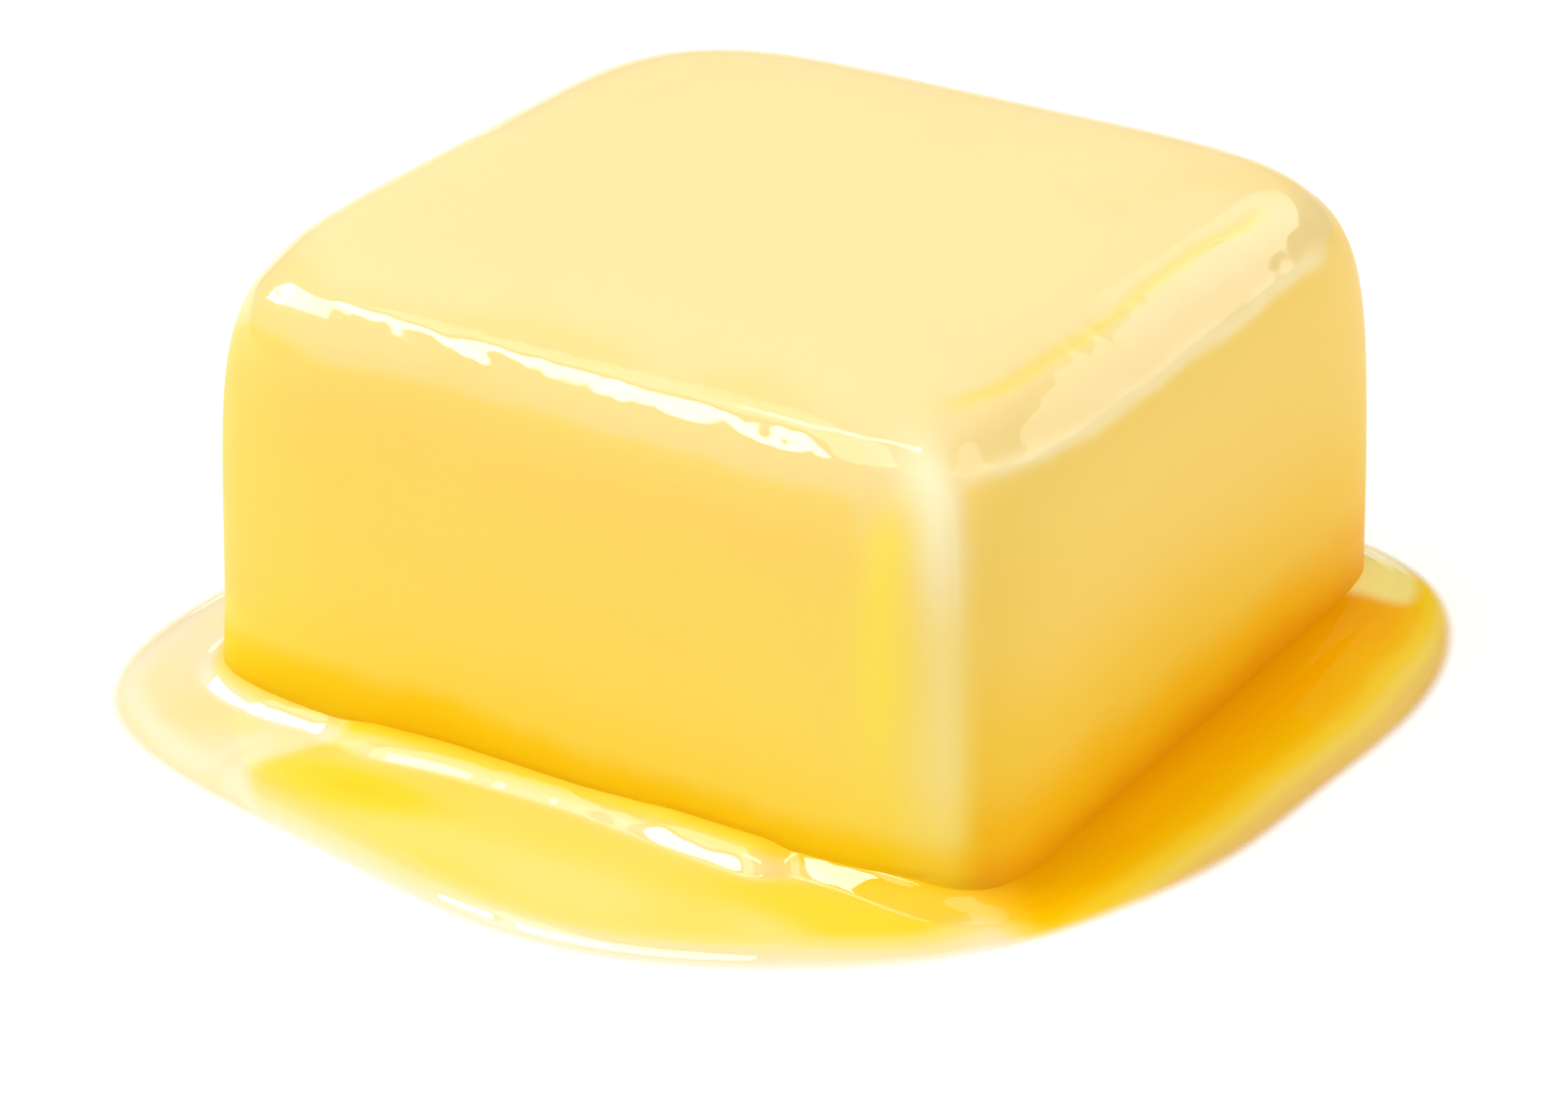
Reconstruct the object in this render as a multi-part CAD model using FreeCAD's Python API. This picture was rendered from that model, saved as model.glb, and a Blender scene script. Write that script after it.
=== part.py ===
import FreeCAD, Part
import math
import os

os.makedirs("parts", exist_ok=True)

# A soft block of butter standing in the butter that has melted off it.
# Millimetres. Z is up, the table is z = 0, and the origin is the middle of the
# block's underside. The block's broad front is its -Y side.

# --- the block ---------------------------------------------------------------
block_width = 66.0            # along X, the width of a 250 g pack
block_depth = 63.4            # along Y
block_height = 33.8           # table to the crown of the top
crown_drop = 0.03             # how far the flat middle of the top lies under that
top_fullness = 8.1            # power of the side profile: higher is a tighter top edge
side_draft = 0.008            # share of the width lost from table to top

# Power of the plan outline: 2 is an ellipse, and a high power is a sharp corner.
# The near right-hand corner keeps its shape best, and the far one is softest.
tight_corner = math.radians(-45.0)
base_power_tight = 9.5
base_power_soft = 6.5
top_power_tight = 6.5
top_power_soft = 4.5

# --- the melted butter round it ----------------------------------------------
rim_margin = 3.5              # pool beyond the block's sides, before the spills
rim_power = 4.5               # power of the pool's outline, before the spills
melt_depth = 1.8              # depth of the open pool
rim_steepness = 7.0           # higher is a blunter rim
rim_bluntness = 0.75          # lower is a blunter rim
wall_creep = 1.2              # rise of the melt where it wets the block
creep_power = 6.0             # higher keeps that rise closer to the block
lap_under = 1.15              # how far the melt is drawn on inside the block, then cut

# Each spill: how far it reaches out, the way it runs, and how narrow it is.
spills = [
    {"reach": 8.6, "way": math.radians(-75.7), "narrow": 8.9},
    {"reach": 7.7, "way": math.radians(-119.5), "narrow": 3.3},
    {"reach": 3.4, "way": math.radians(-18.4), "narrow": 20.4},
    {"reach": 7.2, "way": math.radians(16.7), "narrow": 7.2},
]

# --- how finely the outlines are drawn ----------------------------------------
outline_points = 64
side_rings = 18
pool_rings = 12
mean_margin = 8.0             # pool beyond the block's sides, on the whole
flat_share = 0.55             # share of the half width where the top is taken as flat


def blend(low, high, share):
    return low + (high - low) * share


def power_outline(half_x, half_y, power, angle):
    """Distance from the axis to a rounded rectangle, straight along an angle."""
    along_x = abs(math.cos(angle)) / half_x
    along_y = abs(math.sin(angle)) / half_y
    return (along_x ** power + along_y ** power) ** (-1.0 / power)


def corner_power(angle, height_share):
    """Power of the block's outline: tight at one corner, softer higher up."""
    nearness = 0.5 + 0.5 * math.cos(angle - tight_corner)
    base = blend(base_power_soft, base_power_tight, nearness)
    top = blend(top_power_soft, top_power_tight, nearness)
    return blend(base, top, height_share)


def block_radius(angle, height_share, size_share=1.0):
    """Distance from the block's axis to its side."""
    drafted = size_share * (1.0 - side_draft * height_share)
    half_x = block_width / 2.0 * drafted
    half_y = block_depth / 2.0 * drafted
    return power_outline(half_x, half_y, corner_power(angle, height_share), angle)


def pool_rim_radius(angle):
    """Distance from the block's axis to the pool's outer edge."""
    half_x = block_width / 2.0 + rim_margin
    half_y = block_depth / 2.0 + rim_margin
    radius = power_outline(half_x, half_y, rim_power, angle)
    for spill in spills:
        closeness = math.cos(angle - spill["way"]) - 1.0
        radius += spill["reach"] * math.exp(spill["narrow"] * closeness)
    return radius


def pool_height(share):
    """Height of the melt, from its rim (0) to the block's side (1) and on."""
    open_pool = (1.0 - abs(1.0 - share) ** rim_steepness) ** rim_bluntness
    return melt_depth * open_pool + wall_creep * share ** creep_power


def ring(radius_at, z):
    """A closed smooth outline at one height."""
    points = []
    for i in range(outline_points):
        angle = 2.0 * math.pi * i / outline_points
        radius = radius_at(angle)
        points.append(FreeCAD.Vector(radius * math.cos(angle), radius * math.sin(angle), z))
    curve = Part.BSplineCurve()
    curve.interpolate(Points=points, PeriodicFlag=True)
    return Part.Wire([curve.toShape()])


def even_steps(profile, count):
    """Values from 0 to 1 that cut a profile into pieces of equal length."""
    fine = 400
    lengths = [0.0]
    last = profile(0.0)
    for i in range(1, fine + 1):
        here = profile(i / fine)
        lengths.append(lengths[-1] + math.dist(last, here))
        last = here
    steps = []
    i = 0
    for k in range(count + 1):
        wanted = lengths[-1] * k / count
        while i < fine and lengths[i] < wanted:
            i += 1
        steps.append(i / fine)
    return steps


def side_profile(step):
    """Size share and height of the block's side, from the table up to the flat top."""
    turn_end = math.acos(flat_share ** (top_fullness / 2.0))
    turn = turn_end * step ** 3.0
    rise = (math.sin(turn) / math.sin(turn_end)) ** (2.0 / top_fullness)
    size_share = math.cos(turn) ** (2.0 / top_fullness)
    return size_share, rise


def make_block():
    """Rings up the side, drawn in at the top along a full, rounded profile."""
    top_z = block_height - crown_drop

    def in_millimetres(step):
        size_share, rise = side_profile(step)
        return (block_width / 2.0 * size_share, top_z * rise)

    rings = []
    for step in even_steps(in_millimetres, side_rings):
        size_share, rise = side_profile(step)

        def radius_at(angle):
            return block_radius(angle, rise, size_share)

        rings.append(ring(radius_at, top_z * rise))
    return Part.makeLoft(rings, True, False)


def make_pool(block):
    """Rings from the pool's rim up to the block's side, cut round the block."""
    def in_millimetres(step):
        share = lap_under * step ** 2.0
        return (mean_margin * share, pool_height(share))

    rings = []
    for step in even_steps(in_millimetres, pool_rings):
        share = lap_under * step ** 2.0

        def radius_at(angle):
            rim = pool_rim_radius(angle)
            wall = block_radius(angle, melt_depth / block_height)
            return blend(rim, wall, share)

        rings.append(ring(radius_at, pool_height(share)))
    heap = Part.makeLoft(rings, True, False)
    return heap.cut(block)


butter_block = make_block()
melted_pool = make_pool(butter_block)

for name, shape in (("butter_block", butter_block), ("melted_pool", melted_pool)):
    solids = shape.Solids
    if len(solids) != 1 or not solids[0].isValid():
        raise SystemExit(name + " is not one sound solid")
    solids[0].exportStep("parts/" + name + ".step")
    box = solids[0].BoundBox
    print(name, round(solids[0].Volume, 1), "mm3", box)
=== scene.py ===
"""Looks for a softened block of butter that stands in its own melt.

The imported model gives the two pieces' boxes. Each piece is then a closed surface
worked out on a grid, a shade more uneven than its solid, with its own material.
Lengths are in millimetres until a mesh is made, and in metres after that. Angles
round the block run from +X towards +Y, so its right side is at 0 and its front
at -90 degrees. A pair that something eases over gives first where it is 0 and then
where it is 1. A span by angle gives its low end, its high end and the ease past them.
"""
import math

import bpy
import numpy as np
from mathutils import Matrix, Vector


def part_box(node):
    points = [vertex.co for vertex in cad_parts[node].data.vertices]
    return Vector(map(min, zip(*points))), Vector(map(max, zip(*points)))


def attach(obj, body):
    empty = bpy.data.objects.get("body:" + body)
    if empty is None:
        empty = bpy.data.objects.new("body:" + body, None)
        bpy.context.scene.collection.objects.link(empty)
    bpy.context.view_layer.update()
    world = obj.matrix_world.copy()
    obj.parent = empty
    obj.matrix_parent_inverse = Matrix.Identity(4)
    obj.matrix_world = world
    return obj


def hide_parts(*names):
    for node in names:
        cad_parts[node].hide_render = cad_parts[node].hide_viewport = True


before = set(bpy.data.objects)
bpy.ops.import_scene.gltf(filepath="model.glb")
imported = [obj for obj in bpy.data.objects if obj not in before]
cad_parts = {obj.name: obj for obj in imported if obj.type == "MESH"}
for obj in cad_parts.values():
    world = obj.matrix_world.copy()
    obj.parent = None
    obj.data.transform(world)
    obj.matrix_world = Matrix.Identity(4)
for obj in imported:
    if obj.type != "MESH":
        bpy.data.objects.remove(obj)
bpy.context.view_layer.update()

MM = 0.001

# --- the block, as its solid has it --------------------------------------------
block_low, block_high = (np.array(corner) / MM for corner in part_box("butter_block"))
half_width = (block_high[0] - block_low[0]) / 2
half_depth = (block_high[1] - block_low[1]) / 2
block_height = block_high[2]
top_fullness = 8.1        # power of the side profile
side_draft = 0.008        # share of the width lost by the top
tight_corner = math.radians(-45)
base_powers = (6.5, 9.5)  # plan outline at the table: soft corner, tight corner
top_powers = (4.5, 6.5)   # and at the top
flat_share = 0.55         # where the top is taken as flat

# --- the melt, as its solid has it ----------------------------------------------
rim_margin = 3.5
rim_power = 4.5
spills = (                # reach, way, narrowness
    (8.6, math.radians(-75.7), 8.9),
    (7.7, math.radians(-119.5), 3.3),
    (3.4, math.radians(-18.4), 20.4),
    (7.2, math.radians(16.7), 7.2),
)
film_depth = 0.25         # the thin film that the rim ends in
film_width = 0.85
film_ease = 0.3           # how soon the film has its depth
lip_rise = 0.6            # the step behind the film, before the open melt swells up
lip_hold = 0.35           # how long that step keeps its slope
step_toe = 0.3            # over how much of their foot the melt's steps come to their slope
swell_end = 8.0           # how far in the open melt has its full depth
front_depth = 1.7         # depth of the open melt in front
side_depth = 2.0          # and on the right, where it has gathered
thin_depth = 1.0          # and in the thin spill on the left
thin_to_front = (-120, -112)      # where the thin spill gives way to the front's melt
back_to_right = (140, 60)         # and the thin melt behind to the right side's
deep_span = (-35, 40, 12) # where the deepest melt is
foot_hold = (0.5, 1.0)    # how long the thick melt's step keeps its slope, and at the near corner
near_corner_span = (-58, -48, 1.5)
foot_from_rim = (0.5, 3.5)        # the thick melt dies away where the rim comes close
contact_share = 0.05      # share of the block's height where the melt meets it
melt_lap = 0.6            # how far the melt is drawn on inside the block

# By angle in degrees round the block: how far the thick melt has crept from the foot, how
# steep its front is, how steep the rim is behind its film, and how high the thick melt gets.
foot_reaches = ((-180, 1.6), (-135, 1.9), (-128, 2.0), (-120, 1.5), (-112, 3.3), (-108, 3.0),
                (-101, 2.4), (-86, 2.1), (-71, 2.8), (-63, 3.1), (-59.5, 1.5), (-54, 1.5),
                (-51, 1.7), (-48, 2.0), (-30, 2.5), (60, 2.5), (180, 1.6))
foot_slopes = ((-180, 0.6), (-140, 0.6), (-136, 0.74), (-119, 0.78), (-116, 0.64), (-86, 0.66),
               (-77, 0.67), (-73, 0.86), (-63, 0.91), (-61, 0.80), (-59, 0.96), (-47, 0.96),
               (-42, 0.5), (-36, 0.2), (42, 0.2), (60, 0.4), (180, 0.5))
rim_slopes = ((-180, 0.3), (-93, 0.4), (-90.5, 0.58), (-86, 0.66), (-83.5, 0.74), (-82, 0.60),
              (-61, 0.60), (-58, 0.4), (180, 0.3))
foot_tops = ((-180, 2.3), (-135, 2.4), (-119, 2.5), (-100, 3.0), (-80, 3.2), (-48, 3.3),
             (-36, 2.6), (42, 2.6), (180, 2.3))
stop_ease = 1.2           # degrees over which the tables' corners are rounded
rim_stop_ease = 0.5

# --- how uneven the soft surfaces are -------------------------------------------
# Layers of noise: size of the waves, seed, and strength.
slump = (34, 3, 0.16)             # broad lean and swell of the block's sides
ripple = (2.4, 5, 0.012)          # small ripples of half-melted fat on its top edge
edge_wander = ((10, 21, 0.5), (3.2, 22, 0.10))    # wander of the lines along the top edge
foot_wander = ((9, 11, 0.1), (2.6, 14, 0.04))     # wander of the thick melt's front
melt_swell = (12, 12, 0.05)       # unevenness of the pool's surface
melt_swirl = (11, 15, 0.09)       # drift in how thick the melt looks
slump_rise = (0.0, 0.25)          # the slump starts from nothing at the foot
ripple_growth = (1.6, 3.4)        # how strong the ripples are on the whole, and on the left
left_side = (-160, -100, 8)
calm_rim = (0, 4)                 # the pool is calm at its rim
swirl_stretch = (0.5, 1, 0)       # the drift is drawn out along the front

# --- lines along the block's top edge ----------------------------------------------
# A line lies where the side's profile is so many degrees from level.
edge_tilt = 45
rounding_half = 4.0       # half width of the rounding that carries the ripples
groove_half = 0.9         # half width of the flat that runs along the rounding
groove_wander = 0.3
flattening = 0.85         # share of the rounding's bend that the flat takes away
bend_tilts = (35, 55)     # the bend is measured between these
crease_tilt = 17
crease_wander = 0.6
ridge_tilt = 50
ridge_drop = 0.9          # the ridge runs this far below its tilt
ridge_wander = 0.8
line_half = 0.6           # half width of the crease and of the ridge
line_depth = 0.10         # depth of the crease and height of the ridge
line_span = (-38, 28, 8)  # both run along the right side only

# --- where the block's colours and its coat lie -------------------------------------
right_facing = (-28, 40, 34)      # the right side, by the way that it faces, where the tones are partly painted shade
front_facing = -50                # the front faces less than this
turn_to_right = (-60, -30)        # round the near corner, from the front to the right
glow_facing, glow_half = -60, 13  # the painted highlight down the near corner, a pale glow
glow_x = (25, 29)                 # in front it also starts here
glow_x_strength = 0.8
glow_tilt = (12, 50)              # it is on the upright sides only
glow_low_rise, glow_high_rise = (0.04, 0.35), (0.55, 0.9)
glow_low_share = 0.30             # how much of it comes in the lower of its two stages
streak_x, streak_half = 24.9, 1.8         # a painted streak of yellow light beside the painted highlight
streak_foot, streak_head = (0.15, 0.5), (0.90, 0.76)      # it fades at both ends
streak_strength = 0.85
left_x, left_rise = (-22, -30), (0.1, 0.3)    # the left side is a tone deeper, as painted shade
left_strength = 0.8
cream_tilt = 68                   # the cream top, partly painted sheen, starts here in front, at the ridge on the right
cream_ease = 0.35                 # how soft that start is
cream_wander = 0.8                # and how much it wanders
cream_dip = 14                    # how far down the near corner the cream comes, as a painted highlight
dip_x, dip_y = (21.5, 26.5), (5.0, 1.8)   # along the front, and along the right from its plane
dip_length = (22, 31)             # up the side, where the cream of the dip comes on
left_drop = 2.1                   # the cream also starts lower at the near left corner
left_drop_facing, left_drop_half = -150, 22
coat_tilt = 46                    # the coat of melted fat is thickest along this line
coat_half = 4.0                   # its half width
coat_half_right = 1.4             # below the line on the right
coat_half_above = 2.2             # above the line in front
dry_facing, dryness = (40, 60, 34), 0.8   # the back of the right side is drier
coat_wander = 0.2
bare_coat, side_coat = 0.03, 0.04         # the coat at the foot, and how much the sides add
side_coat_rise = (0.2, 0.5)
contact_shade_above, contact_shade_half = 0.1, 0.22         # painted contact shadow, a dark line where the block leaves the melt
contact_shade_strength = 0.4

# --- how the melt looks ---------------------------------------------------------
clear_rim = 1.4                   # the melt is clear at its rim, and hides the table this far in
amber_span = (-37, 40, 7)         # the melt is amber along the right side, where it lies deeper and where the colour is also painted shade
amber_rim = 1.15                  # and hides the table sooner there
amber_dryness = 0.95              # and has next to no gloss
spill_end, spill_ease = -112, 1.4         # where the thin left spill ends
spill_slant, slant_reach = 6, (0, 5)      # its end slants so many degrees, this far from the rim
open_looks = (0.24, 0.64)         # how thick the melt looks in the thin spill and in front
behind = (150, 90)                # it looks thin again behind the block
rim_start, rim_fades = -0.4, (3.6, 5.6)   # how far in it thins to the rim, and where amber
foot_start, foot_fades = -0.3, (2.0, 9.0)     # how far out it thickens to the foot, likewise
foot_looks = (0.6, 0.95)          # and how thick it gets to look there
toe_in, toe_half = 0.7, 0.6       # a pale line of painted highlight on the thick melt's front
toe_strength = 0.22
toe_span = (-140, -60, 8)
patch_start, patch_end = (32.5, 35.5), (70, 50)   # a pale patch of painted light at the far right
patch_reach = (4.5, 3.2)

# Painted light in the melt, laid on as streaks: centre, half length, half width, and how much
# thicker it looks there.
streaks = (
    (-12.0, -38.2, 6.5, 1.9, 0.22),
    (6.0, -41.0, 8.0, 2.6, -0.10),
    (21.4, -38.6, 4.5, 1.6, -0.10),
    (31.8, -34.8, 3.0, 2.2, 0.16),
    (-28.0, -34.8, 3.0, 2.2, 0.15),
    (-22.0, -37.8, 1.2, 3.4, -0.16),
)

# --- the grids ----------------------------------------------------------------------
under_sizes = np.linspace(0.08, 0.985, 8)     # rings of the underside, by share of the foot
over_sizes = np.linspace(1, 0.012, 26)[1:]    # and of the flat top, by share of its size
fine_outline = 4001       # points that the plan outline is measured with
spacing_power = 7.0       # of the outline that the columns are spaced by
fine_profile = 6001       # points that the side's profile is measured with
first_slope = 200         # the first of them are too close together to give a slope
edge_crowding, crowd_half = 3.5, 4.5      # the rows are closer together over the top edge
rim_crowding = 1.2        # and the pool's rows a little closer at its rim


def blend(low, high, share):
    """Low where the share is 0 and high where it is 1."""
    return low + (high - low) * share


def smooth_step(low, high, value):
    """0 below low, 1 above high, and a cubic ease between them."""
    share = np.clip((value - low) / (high - low), 0, 1)
    return share * share * (3 - 2 * share)


def around(low, high, ease, degrees):
    """1 between two angles in degrees, easing to 0 past each of them."""
    return smooth_step(low - ease, low, degrees) * smooth_step(high + ease, high, degrees)


def hill(off, half):
    """1 where off is 0, falling away on both sides: e to the minus square of off by half."""
    return np.exp(-(off / half) ** 2)


def by_angle(stops, degrees, ease=stop_ease):
    """A value given at some angles round the block: straight runs with eased corners."""
    places, values = zip(*stops)
    shifts = np.linspace(-ease, ease, 7)
    return sum(np.interp(degrees + shift, places, values) for shift in shifts) / len(shifts)


def soft_step(inward, rise, slope, toe, hold):
    """Height of a step, by the distance in from its foot. Its slope grows evenly over the
    toe, holds, and then dies away evenly over what is left of the rise."""
    fade = np.maximum(2 * rise / slope - toe - 2 * hold, 0.1)
    on_toe = np.clip(inward, 0, toe)
    on_hold = np.clip(inward - toe, 0, hold)
    on_fade = np.clip(inward - toe - hold, 0, fade)
    return slope * (on_toe ** 2 / (2 * toe) + on_hold + on_fade - on_fade ** 2 / (2 * fade))


def straight_across(outline, angle):
    """Share of a distance along the radius that is straight across an outline."""
    return 1 / np.hypot(1, np.gradient(outline, angle) / outline)


def half_turns(angle):
    """An angle as degrees from -180 to 180."""
    return (np.degrees(angle) + 180) % 360 - 180


def soft_noise(points, size, seed, waves=40):
    """Smooth unevenness from -1 to 1 or so: plane waves, each 0.6 to 1.8 times the size
    long and in a seeded random direction and phase, added up at every point."""
    rng = np.random.default_rng(seed)
    ways = rng.normal(size=(waves, 3))
    ways /= np.linalg.norm(ways, axis=1)[:, None]
    lengths = size * rng.uniform(0.6, 1.8, waves)
    phases = rng.uniform(0, 2 * np.pi, waves)
    swing = points @ (ways / lengths[:, None]).T * 2 * np.pi + phases
    return np.sin(swing).sum(-1) * math.sqrt(2 / waves) * 0.5


def uneven(points, *layers):
    """Layers of smooth noise, each of its own size, seed and strength, added up."""
    return sum(soft_noise(points, size, seed) * strength for size, seed, strength in layers)


def rounded_outline(half_x, half_y, power, angle):
    """Distance from the axis to a rounded rectangle: the power mean of the two sides."""
    along_x = np.abs(np.cos(angle)) / half_x
    along_y = np.abs(np.sin(angle)) / half_y
    return (along_x ** power + along_y ** power) ** (-1 / power)


def block_radius(angle, rise):
    """The block's plan outline: one corner tight, the far one soft, all softer higher up."""
    nearness = 0.5 + 0.5 * np.cos(angle - tight_corner)
    power = blend(blend(*base_powers, nearness), blend(*top_powers, nearness), rise)
    drafted = 1 - side_draft * rise
    return rounded_outline(half_width * drafted, half_depth * drafted, power, angle)


def pool_radius(angle):
    """The pool's outline: a rounded rectangle round the block, with its spills added."""
    radius = rounded_outline(half_width + rim_margin, half_depth + rim_margin, rim_power, angle)
    for reach, way, narrow in spills:
        radius = radius + reach * np.exp(narrow * (np.cos(angle - way) - 1))
    return radius


def on_outline(radius, angle, height=0.0):
    """Points at a distance from the axis, along an angle, at a height."""
    return np.stack([radius * np.cos(angle), radius * np.sin(angle), height + 0 * radius], -1)


def grid_normals(points):
    """Unit normals of a grid that closes on itself across its columns."""
    across = np.roll(points, -1, 1) - np.roll(points, 1, 1)
    along = np.gradient(points, axis=0)
    normals = np.cross(across, along)
    length = np.linalg.norm(normals, axis=-1, keepdims=True)
    return normals / np.maximum(length, 1e-12)


def corner_angles(count):
    """Angles round the block, closer together where its outline turns: even steps
    along a rounded rectangle instead of even turns."""
    fine = np.linspace(0, 2 * np.pi, fine_outline)
    radius = rounded_outline(half_width, half_depth, spacing_power, fine)
    line = np.stack([radius * np.cos(fine), radius * np.sin(fine)])
    length = np.r_[0, np.cumsum(np.linalg.norm(np.diff(line), axis=0))]
    return np.interp(np.arange(count) / count * length[-1], length, fine)


def grid_faces(rows, columns, close_rows):
    """Corner numbers of the grid's four-sided faces, closed across its columns."""
    last_row = rows if close_rows else rows - 1
    row, column = np.meshgrid(np.arange(last_row), np.arange(columns), indexing="ij")
    here = row * columns
    above = (row + 1) % rows * columns
    onward = (column + 1) % columns
    corners = [here + column, here + onward, above + onward, above + column]
    return np.stack(corners, -1).reshape(-1, 4).tolist()


def end_fans(rows, columns):
    """Triangles that close the grid's first row to the point after the grid's own, and its
    last row to the point after that."""
    ring = np.arange(columns)
    onward = (ring + 1) % columns
    last = (rows - 1) * columns
    bottom, top = (np.full(columns, rows * columns + more) for more in (0, 1))
    return (np.stack([bottom, onward, ring], 1).tolist()
            + np.stack([top, last + ring, last + onward], 1).tolist())


def make_piece(name, points, faces, material, body, node):
    """A smooth mesh object from points in millimetres, riding on its body."""
    mesh = bpy.data.meshes.new(name)
    mesh.from_pydata((points * MM).tolist(), [], faces)
    mesh.polygons.foreach_set("use_smooth", np.ones(len(mesh.polygons), bool))
    mesh.update()
    piece = bpy.data.objects.new(name, mesh)
    bpy.context.scene.collection.objects.link(piece)
    mesh.materials.append(material)
    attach(piece, body)
    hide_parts(node)
    return piece


def carry(piece, masks):
    """Gives each point of a piece its named values, for the materials to read."""
    for name, mask in masks.items():
        piece.data.attributes.new(name, "FLOAT", "POINT").data.foreach_set("value", mask)


# --- the block's surface --------------------------------------------------------------
def side_path(rows):
    """Size, rise and length in millimetres along the side's profile, from the foot to the
    flat top, with the rows closer together over the top edge. The profile is a
    superellipse: size and rise, each to the power top_fullness, add up to 1. With them
    comes the length at which the profile has tilted by a given angle from level."""
    turn_end = math.acos(flat_share ** (top_fullness / 2))
    fine = turn_end * np.linspace(0, 1, fine_profile) ** 3
    rise = (np.sin(fine) / math.sin(turn_end)) ** (2 / top_fullness)
    size = np.cos(fine) ** (2 / top_fullness)
    step_in, step_up = -np.diff(size) * half_width, np.diff(rise) * block_height
    length = np.r_[0, np.cumsum(np.hypot(step_in, step_up))]
    tilt = np.degrees(np.arctan2(step_up, step_in))
    middle = (length[1:] + length[:-1]) / 2

    def length_at(degrees):
        return np.interp(-degrees, -tilt[first_slope:], middle[first_slope:])

    crowding = 1 + edge_crowding * hill(length - length_at(edge_tilt), crowd_half)
    share = np.r_[0, np.cumsum(crowding[1:] * np.diff(length))]
    even = np.interp(np.linspace(0, share[-1], rows), share, length)
    return np.interp(even, length, size), np.interp(even, length, rise), even, length_at


def edge_lines(length, length_at, degrees, wobble):
    """The crease above the rounding and the ridge below it, along the right side: hills across two
    lines, which wander with the wobble. They dent and raise the skin; the crease is also painted
    darker as shade and the ridge paler as a highlight."""
    span = around(*line_span, degrees)
    crease = hill(length - length_at(crease_tilt) + crease_wander * wobble, line_half)
    ridge = hill(length - length_at(ridge_tilt) + ridge_drop + ridge_wander * wobble, line_half)
    return crease * span, ridge * span


def corner_highlights(x, facing, tilt, rise):
    """The painted highlight down the near corner, a pale glow, and a painted streak of yellow light
    beside it in front. The glow is a hill by the way the surface faces, or the start of the corner
    in front if that is more, and fades in two stages towards the foot. The streak is a hill across
    x."""
    in_front = facing < front_facing
    strip = np.maximum(hill(facing - glow_facing, glow_half),
                       glow_x_strength * smooth_step(*glow_x, x) * in_front)
    fading = (glow_low_share * smooth_step(*glow_low_rise, rise)
              + (1 - glow_low_share) * smooth_step(*glow_high_rise, rise))
    streak = hill(x - streak_x, streak_half) * in_front
    streak = streak * smooth_step(*streak_foot, rise) * smooth_step(*streak_head, rise)
    return strip * smooth_step(*glow_tilt, tilt) * fading, streak_strength * streak


def cream_and_sheen(x, y, facing, length, length_at, wobble):
    """How much a point has of the top's cream, the drier top's paler colour with painted sheen and a
    painted reflection on the rounding: all of it above a line that wanders along the top edge. The
    line is lower on the right and at the near left corner, and dips far down the near corner as a
    painted highlight, where the cream comes on slowly up the side."""
    dip = np.where(facing < front_facing, smooth_step(*dip_x, x),
                   smooth_step(*dip_y, y + half_depth))
    line = blend(length_at(cream_tilt), length_at(ridge_tilt) - ridge_drop,
                 smooth_step(*turn_to_right, facing)) - cream_dip * dip
    line = line - left_drop * hill(facing - left_drop_facing, left_drop_half)
    cream = smooth_step(-cream_ease, cream_ease, length + cream_wander * wobble - line)
    return cream * blend(1, smooth_step(*dip_length, length), dip)


def fat_coat(facing, rise, length, length_at, wobble):
    """How strong the coat of melted fat is: a hill across the top edge, narrower below its
    line on the right and above it in front, over a faint film on the sides."""
    line = length_at(coat_tilt)
    half = blend(coat_half, coat_half_right, smooth_step(*turn_to_right, facing) * (length < line))
    half = np.where((length > line) & (facing < front_facing), coat_half_above, half)
    coat = hill(length - line, half) * (1 - dryness * around(*dry_facing, facing))
    film = bare_coat + side_coat * smooth_step(*side_coat_rise, rise)
    return blend(film, 1, np.clip(coat * (1 + coat_wander * wobble), 0, 1))


def skin_lift(points, facing, rise, length, length_at, wobble, crease, ridge):
    """How far the soft skin stands off the smooth block: a broad slump, ripples on the
    rounding, a groove just deep enough to flatten the middle of the rounding, the crease
    and the ridge. The groove's depth is the bend it takes away by half its half width
    squared."""
    off_edge = length - length_at(edge_tilt)
    low_tilt, high_tilt = bend_tilts
    bend = math.radians(high_tilt - low_tilt) / (length_at(low_tilt) - length_at(high_tilt))
    groove = hill(off_edge + groove_wander * wobble, groove_half) * (1 + groove_wander * wobble)
    groove = groove * flattening * bend * groove_half ** 2 / 2
    broad = uneven(points, slump) * smooth_step(*slump_rise, rise)
    growth = blend(*ripple_growth, around(*left_side, facing))
    ripples = uneven(points, ripple) * hill(off_edge, rounding_half) * growth
    return broad + ripples - groove - line_depth * crease + line_depth * ridge


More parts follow.
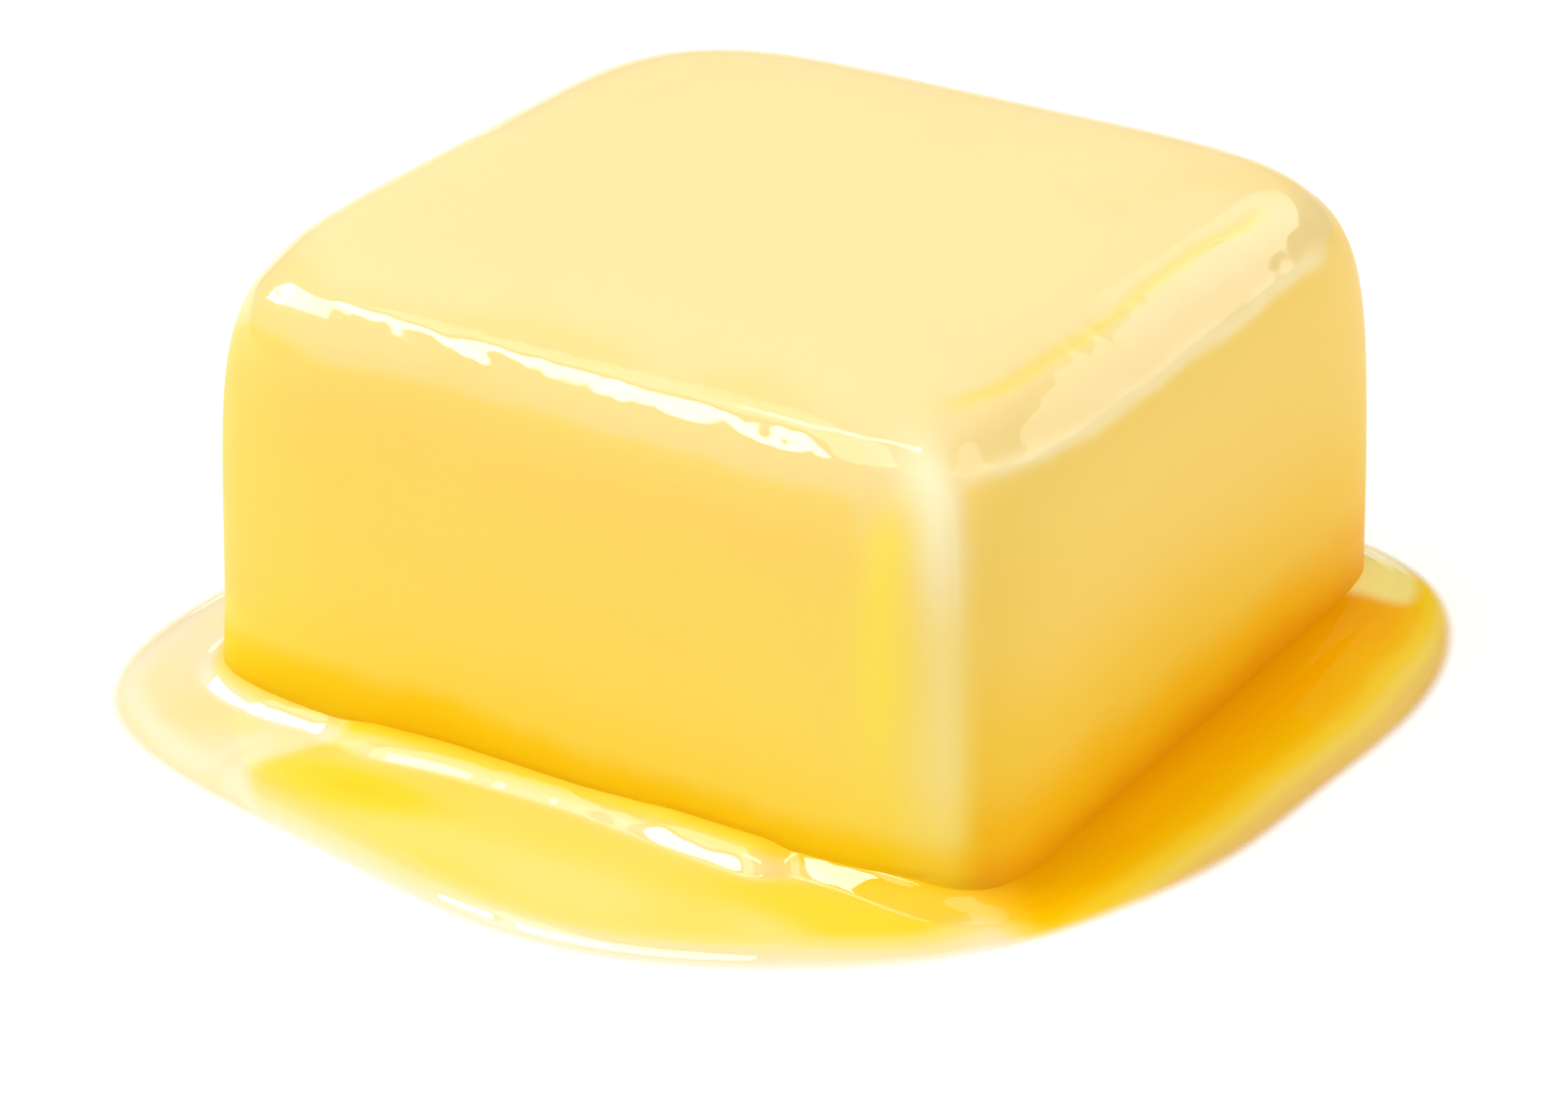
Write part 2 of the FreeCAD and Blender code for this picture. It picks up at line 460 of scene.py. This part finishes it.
def block_surface(columns=440, side_rows=150):
    """Angle round the block, and a path from the middle of the underside, up the side and
    over the top edge to the middle of the top. The soft skin is added along the normals.
    With the points come the masks that place the colours and the coat."""
    angle = corner_angles(columns)
    side_size, side_rise, side_length, length_at = side_path(side_rows)
    over = over_sizes * flat_share
    over_length = side_length[-1] + (flat_share - over) * half_width
    size = np.r_[under_sizes, side_size, over][:, None]
    rise = np.r_[under_sizes * 0, side_rise, over * 0 + 1][:, None]
    length = np.r_[under_sizes * 0, side_length, over_length][:, None]
    points = on_outline(block_radius(angle[None, :], rise) * size, angle, block_height * rise)
    normals = grid_normals(points)
    tilt = np.degrees(np.arccos(np.clip(normals[..., 2], -1, 1)))
    facing = np.degrees(np.arctan2(normals[..., 1], normals[..., 0]))
    degrees = half_turns(angle)
    wobble = uneven(points, *edge_wander)
    x, y = points[..., 0], points[..., 1]
    crease, ridge = edge_lines(length, length_at, degrees, wobble)
    # painted highlight down the near corner, and a painted streak of light beside it
    corner, beside = corner_highlights(x, facing, tilt, rise)
    # Colour masks: painted shade in the crease, on the right and on the left; painted highlights on
    # the ridge and the near corner, with a painted streak of light beside it; painted sheen in the
    # cream top.
    masks = {
        "crease": crease,
        "ridge": ridge,
        "on_right": around(*right_facing, facing),
        "corner": corner,
        "beside": beside,
        "left_shade": left_strength * smooth_step(*left_x, x) * smooth_step(*left_rise, rise),
        "wet": fat_coat(facing, rise, length, length_at, wobble),
        "pale": cream_and_sheen(x, y, facing, length, length_at, wobble),
    }
    lift = skin_lift(points, facing, rise, length, length_at, wobble, crease, ridge)
    points = points + normals * lift[..., None]
    contact = open_depth(degrees) + foot_height(0, degrees)
    # painted contact shadow just above where the melt meets the block
    masks["contact_shade"] = contact_shade_strength * hill(points[..., 2] - contact - contact_shade_above, contact_shade_half)
    ends = [[0, 0, 0], [0, 0, points[-1, :, 2].mean()]]
    faces = grid_faces(len(size), columns, False) + end_fans(len(size), columns)
    masks = {name: np.r_[mask.reshape(-1), mask[0].mean(), mask[-1].mean()]
             for name, mask in masks.items()}
    return np.vstack([points.reshape(-1, 3), ends]), faces, masks


# --- the melt's surface ---------------------------------------------------------------
def open_depth(degrees):
    """Depth of the open melt: thin on the left, deeper in front, deepest on the right."""
    in_front = smooth_step(*thin_to_front, degrees) * smooth_step(*back_to_right, degrees)
    depth = blend(thin_depth, front_depth, in_front)
    return depth + (side_depth - front_depth) * around(*deep_span, degrees)


def foot_height(from_wall, degrees):
    """Height of the thick melt round the foot above the open melt."""
    rise = by_angle(foot_tops, degrees) - open_depth(degrees)
    inward = by_angle(foot_reaches, degrees) - from_wall
    hold = blend(*foot_hold, around(*near_corner_span, degrees))
    return soft_step(inward, rise, by_angle(foot_slopes, degrees), step_toe, hold)


def melt_height(from_rim, from_wall, degrees):
    """Height of the melt: a thin film at the rim, a small step, a swell to the open depth,
    and another step to the thick melt round the foot."""
    film = film_depth * (1 - np.exp(-from_rim / film_ease))
    slope = by_angle(rim_slopes, degrees, rim_stop_ease)
    lip = soft_step(from_rim - film_width, lip_rise, slope, step_toe, lip_hold)
    still_to_rise = open_depth(degrees) - film_depth - lip_rise
    swell = smooth_step(film_width, swell_end, from_rim) * still_to_rise
    foot = foot_height(from_wall, degrees) * smooth_step(*foot_from_rim, from_rim)
    return film + lip + swell + foot


def melt_looks(points, from_rim, from_wall, degrees):
    """How thick the melt looks, from 0 to 1, and where it is amber, glossy and patched with painted
    light. It looks thin in the left spill and behind, thicker elsewhere, with streaks of painted
    light and a slow swirl. It thins to the rim, thickens to the foot, and is pale along the thick
    melt's front as a painted highlight. The amber is partly painted shade."""
    # amber on the right, partly painted shade
    amber = around(*amber_span, degrees)
    slant = spill_slant * smooth_step(*slant_reach, from_rim)
    past_spill = smooth_step(-spill_ease, spill_ease, degrees - spill_end + slant)
    look = blend(*open_looks, past_spill * smooth_step(*behind, degrees))
    # painted light, laid on as streaks
    for x, y, half_long, half_wide, more in streaks:
        away = np.hypot((points[..., 0] - x) / half_long, (points[..., 1] - y) / half_wide)
        look = look + more * hill(away, 1)
    swirl = uneven(points * swirl_stretch, melt_swirl)
    thick = (look + swirl) * smooth_step(rim_start, blend(*rim_fades, amber), from_rim)
    foot = smooth_step(blend(*foot_fades, amber), foot_start, from_wall)
    thick = thick + (1 - thick) * (foot * blend(*foot_looks, amber))
    # painted highlight along the thick melt's front
    toe = hill(by_angle(foot_reaches, degrees) - from_wall - toe_in, toe_half)
    thick = thick - toe_strength * toe * around(*toe_span, degrees)
    # a pale patch of painted light at the far right
    patch = smooth_step(*patch_start, degrees) * smooth_step(*patch_end, degrees)
    return {"from_rim": from_rim * blend(1, amber_rim, amber), "thick": thick, "amber": amber,
            "wet": 1 - amber_dryness * amber, "patch": patch * smooth_step(*patch_reach, from_wall)}


def pool_surface(columns=520, open_rows=150, under_rows=10):
    """Angle round the block, and a closed path: out under the pool to its rim, over the rim
    and in across the open melt to the block's side, then down inside the block. With the
    points come the distance in from the rim and the masks of melt_looks."""
    angle = corner_angles(columns)
    wall = block_radius(angle, contact_share)
    rim = pool_radius(angle)
    inner = wall - melt_lap
    over = blend(rim, inner, np.linspace(0, 1, open_rows)[:, None] ** rim_crowding)
    under = blend(inner, rim, np.linspace(0, 1, under_rows)[:-1, None])
    degrees = half_turns(angle + 0 * over)
    from_rim = (rim - over) * straight_across(rim, angle)
    from_wall = (over - wall) * straight_across(wall, angle)
    wander = uneven(on_outline(wall, angle), *foot_wander)
    points = on_outline(over, angle)
    swell = uneven(points, melt_swell) * smooth_step(*calm_rim, from_rim)
    points[..., 2] = np.maximum(melt_height(from_rim, from_wall + wander, degrees) + swell, 0)
    masks = {name: np.r_[(0 * under).reshape(-1), mask.reshape(-1)]
             for name, mask in melt_looks(points, from_rim, from_wall, degrees).items()}
    grid = np.concatenate([on_outline(under, angle), points])
    return grid.reshape(-1, 3), grid_faces(len(grid), columns, True), masks


# --- colours ----------------------------------------------------------------------
def linear(hex_colour):
    """A screen colour such as fcdc6e as linear red, green, blue and 1."""
    levels = [int(hex_colour[i:i + 2], 16) / 255 for i in (0, 2, 4)]
    light = [v / 12.92 if v <= 0.04045 else ((v + 0.055) / 1.055) ** 2.4 for v in levels]
    return (*light, 1.0)


def tones(*stops):
    """Ramp stops from (place, screen colour) pairs."""
    return [(place, linear(colour)) for place, colour in stops]


# Colour of the butter by its share of the block's height, in front, on the right and on top. The
# deep
# # yellow near the foot is partly the wet melt there and partly painted shade and painted yellow
# light from the melt.
front_tones = tones((0.0, "f4c200"), (0.09, "f8cb00"), (0.13, "facf0c"), (0.20, "fada4e"),
                    (0.34, "f8d85a"), (0.55, "f6d55c"), (0.78, "f5cf60"), (0.95, "f7d670"))
# The right side faces away from the light: its darker, oranger tones are partly painted shade.
right_tones = tones((0.0, "d88800"), (0.08, "f2a800"), (0.18, "f8ba04"), (0.32, "f7c83a"),
                    (0.60, "f6ce5c"), (0.86, "f6d168"), (0.95, "f2d578"))
# The top's cream is partly its drier, paler colour and partly painted sheen.
top_tones = tones((0.50, "f2cf68"), (0.80, "f2d176"), (0.93, "f2d588"), (0.99, "f4da9a"))
# painted shade on the left side
left_shade_tone = linear("f4ca58")
# painted shade in the crease above the rounding on the right
crease_shade_tone = linear("fbd872")
# painted highlight along the ridge on the right
ridge_highlight_tone = linear("fde6a8")
# painted highlight down the near corner
corner_highlight_tone = linear("fff3c4")
# painted streak of yellow light beside the corner's painted highlight
light_streak_tone = linear("fce050")
# painted contact shadow where the block leaves the melt
contact_shade_tone = linear("e2ac10")

# Colour of the melt by how thick it looks, where it is yellow and where it is amber; the amber is
# partly painted shade.
melt_tones = tones((0.0, "f2dc9c"), (0.15, "f2e6c2"), (0.35, "f6e1a4"), (0.55, "fcd97a"),
                   (0.75, "ffd034"), (0.90, "ffc40c"), (1.0, "fcb400"))
amber_tones = tones((0.0, "dcb054"), (0.15, "f0cc6a"), (0.32, "fada5c"), (0.52, "fed62e"),
                    (0.76, "fec400"), (0.88, "feba00"), (1.0, "f4ac00"))
# painted light in the patch at the far right
lit_patch_tone = linear("ffee8e")

# --- finishes ---------------------------------------------------------------------
white = (1, 1, 1, 1)
fat_ior = 1.46            # refractive index of butter fat
mottle_scale, mottle_detail = 70, 3       # clouds of about 14 mm
mottle_span, mottle_shift = (0.2, 0.8), 1.6   # they move the colours so far up or down
rough_span, roughness = (0.3, 0.7), (0.38, 0.5)   # and make some places duller
grain_scale, grain_detail = 420, 4        # a fine grain of about 2 mm
grain_strength, grain_depth = 0.08, 0.3
table_white = 0.45        # share of the light that the table gives back
table_glow = 0.66         # and the light that it gives of its own
sky_light = 0.34          # light from all round


# --- materials --------------------------------------------------------------------
def new_material(name):
    """A material with its nodes, their links and its shader."""
    material = bpy.data.materials.new(name)
    material.use_nodes = True
    nodes = material.node_tree.nodes
    return material, nodes, material.node_tree.links, nodes["Principled BSDF"]


def set_sockets(node, values):
    """Sets a node's own sockets to values that are the same all over."""
    for socket, value in values.items():
        node.inputs[socket].default_value = value


def ramp(nodes, links, factor, stops):
    """A colour by a factor, from (place, colour) stops."""
    node = nodes.new("ShaderNodeValToRGB")
    node.color_ramp.interpolation = "EASE"
    elements = node.color_ramp.elements
    while len(elements) < len(stops):
        elements.new(0.5)
    for element, (place, colour) in zip(elements, stops):
        element.position = place
        element.color = colour
    links.new(factor, node.inputs["Fac"])
    return node.outputs["Color"]


def mix_colour(nodes, links, factor, first, second):
    """The first colour where factor is 0 and the second where it is 1."""
    mix = nodes.new("ShaderNodeMix")
    mix.data_type = "RGBA"
    links.new(factor, mix.inputs["Factor"])
    for socket, colour in ((mix.inputs[6], first), (mix.inputs[7], second)):
        if isinstance(colour, tuple):
            socket.default_value = colour
        else:
            links.new(colour, socket)
    return mix.outputs[2]


def lay_over(nodes, links, tone, layers):
    """A colour with others laid over it in turn, each by a value that the surface carries."""
    for name, colour in layers:
        tone = mix_colour(nodes, links, point_value(nodes, name), tone, colour)
    return tone


def point_value(nodes, name):
    """A value that the surface carries at its points."""
    node = nodes.new("ShaderNodeAttribute")
    node.attribute_name = name
    return node.outputs["Fac"]


def map_range(nodes, links, value, low, high, to_low=0.0, to_high=1.0, ease="LINEAR"):
    """A value from low to high, brought to the range from to_low to to_high."""
    node = nodes.new("ShaderNodeMapRange")
    node.interpolation_type = ease
    set_sockets(node, {"From Min": low, "From Max": high, "To Min": to_low, "To Max": to_high})
    links.new(value, node.inputs["Value"])
    return node.outputs["Result"]


def cloudy(nodes, links, place, scale, detail):
    """Noise all through the piece, with about scale waves to the metre."""
    node = nodes.new("ShaderNodeTexNoise")
    set_sockets(node, {"Scale": scale, "Detail": detail})
    links.new(place, node.inputs["Vector"])
    return node.outputs["Fac"]


def soft_butter():
    """Butter going soft: cream on the drier top, with painted sheen, deeper yellow down the sides
    and deepest at the wet foot, which also stands for painted shade and the melt's yellow light
    there.
    The right side, the left side, the crease and the contact line carry painted shade; the ridge and
    the near corner carry painted highlights, with a painted streak of light beside the corner. It is
    faintly mottled, with a thin shine of melted fat."""
    material, nodes, links, shader = new_material("soft_butter")
    place = nodes.new("ShaderNodeTexCoord").outputs["Object"]
    split = nodes.new("ShaderNodeSeparateXYZ")
    links.new(place, split.inputs[0])
    mottle = cloudy(nodes, links, place, mottle_scale, mottle_detail)
    shift = mottle_shift * MM
    wander = map_range(nodes, links, mottle, *mottle_span, -shift, shift)
    height = nodes.new("ShaderNodeMath")
    height.operation = "ADD"
    links.new(split.outputs["Z"], height.inputs[0])
    links.new(wander, height.inputs[1])
    share = map_range(nodes, links, height.outputs[0], 0, block_height * MM)
    front, right, top = (ramp(nodes, links, share, stops)
                         for stops in (front_tones, right_tones, top_tones))
    # Over the front's tones: painted shade on the right, on the left, in the crease and at the
    # contact line; painted sheen on the cream top; painted highlights on the ridge and down the near
    # corner, with a painted streak of light beside it.
    tone = lay_over(nodes, links, front, (
        ("on_right", right), ("left_shade", left_shade_tone), ("pale", top),
        ("crease", crease_shade_tone), ("ridge", ridge_highlight_tone), ("corner", corner_highlight_tone),
        ("beside", light_streak_tone), ("contact_shade", contact_shade_tone)))
    links.new(tone, shader.inputs["Base Color"])
    bump = nodes.new("ShaderNodeBump")
    set_sockets(bump, {"Strength": grain_strength, "Distance": grain_depth * MM})
    grain = cloudy(nodes, links, place, grain_scale, grain_detail)
    links.new(grain, bump.inputs["Height"])
    links.new(bump.outputs["Normal"], shader.inputs["Normal"])
    rough = map_range(nodes, links, mottle, *rough_span, *roughness)
    links.new(rough, shader.inputs["Roughness"])
    links.new(point_value(nodes, "wet"), shader.inputs["Coat Weight"])
    set_sockets(shader, {
        "IOR": fat_ior, "Specular IOR Level": 0.1, "Coat Roughness": 0.06, "Coat IOR": fat_ior,
        "Subsurface Weight": 0.15, "Subsurface Radius": (1.0, 0.6, 0.2), "Subsurface Scale": 3 * MM})
    return material


def melted_butter():
    """Clear golden melt: colourless at its thin rim, deeper the thicker it lies, and amber where it
    has gathered on the right, which is also painted shade. It carries painted light in streaks, a
    patch at the far right and a line along its thick front."""
    material, nodes, links, shader = new_material("melted_butter")
    thick = point_value(nodes, "thick")
    yellow, amber = (ramp(nodes, links, thick, stops) for stops in (melt_tones, amber_tones))
    tone = lay_over(nodes, links, yellow, (("amber", amber), ("patch", lit_patch_tone)))
    links.new(tone, shader.inputs["Base Color"])
    from_rim = point_value(nodes, "from_rim")
    cover = map_range(nodes, links, from_rim, 0.0, clear_rim, ease="SMOOTHSTEP")
    links.new(cover, shader.inputs["Alpha"])
    links.new(point_value(nodes, "wet"), shader.inputs["Coat Weight"])
    set_sockets(shader, {"Roughness": 0.3, "Specular IOR Level": 0.0, "Coat Roughness": 0.02,
                         "Coat IOR": fat_ior})
    return material


def pale_floor():
    """A white table that glows a little, so that it stays white right up to the butter."""
    material, nodes, links, shader = new_material("pale_floor")
    set_sockets(shader, {
        "Base Color": (table_white, table_white, table_white, 1), "Roughness": 0.9,
        "Specular IOR Level": 0.0, "Emission Color": white, "Emission Strength": table_glow})
    return material


# --- the pieces --------------------------------------------------------------------
points, faces, masks = block_surface()
block = make_piece("block_body", points, faces, soft_butter(),
                   "root", "butter_block")
carry(block, masks)
points, faces, masks = pool_surface()
melt = make_piece("melt_body", points, faces, melted_butter(),
                  "root", "melted_pool")
carry(melt, masks)

floor_half = 6.0
floor_drop = -0.00004     # the table lies a hair under the melt
floor_ways = ((-1, -1), (1, -1), (1, 1), (-1, 1))
floor_corners = [(x * floor_half, y * floor_half, floor_drop) for x, y in floor_ways]
floor_mesh = bpy.data.meshes.new("floor")
floor_mesh.from_pydata(floor_corners, [], [(0, 1, 2, 3)])
floor_mesh.materials.append(pale_floor())
floor = bpy.data.objects.new("floor", floor_mesh)
bpy.context.scene.collection.objects.link(floor)


# --- camera and light ---------------------------------------------------------------
def direction(azimuth, elevation):
    """Unit vector from the object: azimuth 0 is towards -Y and 90 towards +X."""
    a, e = math.radians(azimuth), math.radians(elevation)
    return np.array([math.sin(a) * math.cos(e), -math.cos(a) * math.cos(e), math.sin(e)])


def look_along(obj, place, target):
    """Puts obj at place with its -Z axis towards target and its X axis level."""
    back = np.array(place, float) - np.array(target, float)
    back /= np.linalg.norm(back)
    right = np.cross((0, 0, 1), back)
    right /= np.linalg.norm(right)
    up = np.cross(back, right)
    obj.matrix_world = Matrix((
        (right[0], up[0], back[0], place[0]), (right[1], up[1], back[1], place[1]),
        (right[2], up[2], back[2], place[2]), (0, 0, 0, 1)))


camera_azimuth = 32.03
camera_elevation = 26.55
camera_distance = 0.347
camera_lens = 110.4
aim_height, aim_left, aim_up = 3.0, 1.4, 2.54     # a point on the axis, and the way from it
level_right = direction(camera_azimuth + 90, 0)
camera_back = direction(camera_azimuth, camera_elevation)
camera_up = np.cross(camera_back, level_right)
aim = np.array([0, 0, aim_height]) - level_right * aim_left + camera_up * aim_up
target = aim * MM
camera = bpy.data.objects.new("camera", bpy.data.cameras.new("camera"))
bpy.context.scene.collection.objects.link(camera)
camera.data.sensor_width = 36
camera.data.lens = camera_lens
camera.data.clip_start = 0.01
look_along(camera, target + camera_back * camera_distance, target)
bpy.context.scene.camera = camera

# Lamps: azimuth, elevation, width, height, radiance, and roll about the way they shine.
lamps = {
    "edge_strip": (-53, 49, 0.62, 0.11, 16, 0),
    "corner_lamp": (-84, 34, 0.82, 0.13, 11, 41),
    "top_glow": (-50, 63, 0.8, 0.34, 3.2, 0),
    "rim_lamp": (-41, 72.6, 0.66, 0.10, 9, 49),
    "left_box": (-31, 20, 0.9, 0.75, 0.55, 0),
    "back_box": (156, 32, 1.65, 0.42, 2.0, 0),
    "corner_box": (61, 36, 0.9, 0.5, 0.87, 0),
    "right_fill": (95, 58, 0.6, 0.5, 2.0, 0),
    "right_box": (84, 12, 0.8, 0.6, 0.45, 0),
}
lamp_distance = 1.2
lamp_aim = (0, 0, 0.02)


def soft_box(name, azimuth, elevation, width, height, radiance, roll):
    """A rectangular lamp that faces the object, rolled about its own axis by an angle in
    degrees. Its power gives the radiance asked for."""
    light = bpy.data.lights.new(name, "AREA")
    light.shape = "RECTANGLE"
    light.size = width
    light.size_y = height
    light.energy = radiance * math.pi * width * height
    lamp = bpy.data.objects.new(name, light)
    bpy.context.scene.collection.objects.link(lamp)
    look_along(lamp, direction(azimuth, elevation) * lamp_distance, lamp_aim)
    lamp.matrix_world = lamp.matrix_world @ Matrix.Rotation(math.radians(roll), 4, "Z")
    lamp.visible_camera = False


for name, values in lamps.items():
    soft_box(name, *values)


def studio_sky():
    """Soft light from all round. Behind the table it is seen as white as the table's far end."""
    sky = bpy.data.worlds.new("studio")
    sky.use_nodes = True
    nodes, links = sky.node_tree.nodes, sky.node_tree.links
    seen = nodes.new("ShaderNodeLightPath").outputs["Is Camera Ray"]
    strength = map_range(nodes, links, seen, 0, 1, sky_light, table_glow + table_white * sky_light)
    links.new(strength, nodes["Background"].inputs["Strength"])
    nodes["Background"].inputs["Color"].default_value = white
    return sky


bpy.context.scene.world = studio_sky()
bpy.context.scene.view_settings.view_transform = "Standard"
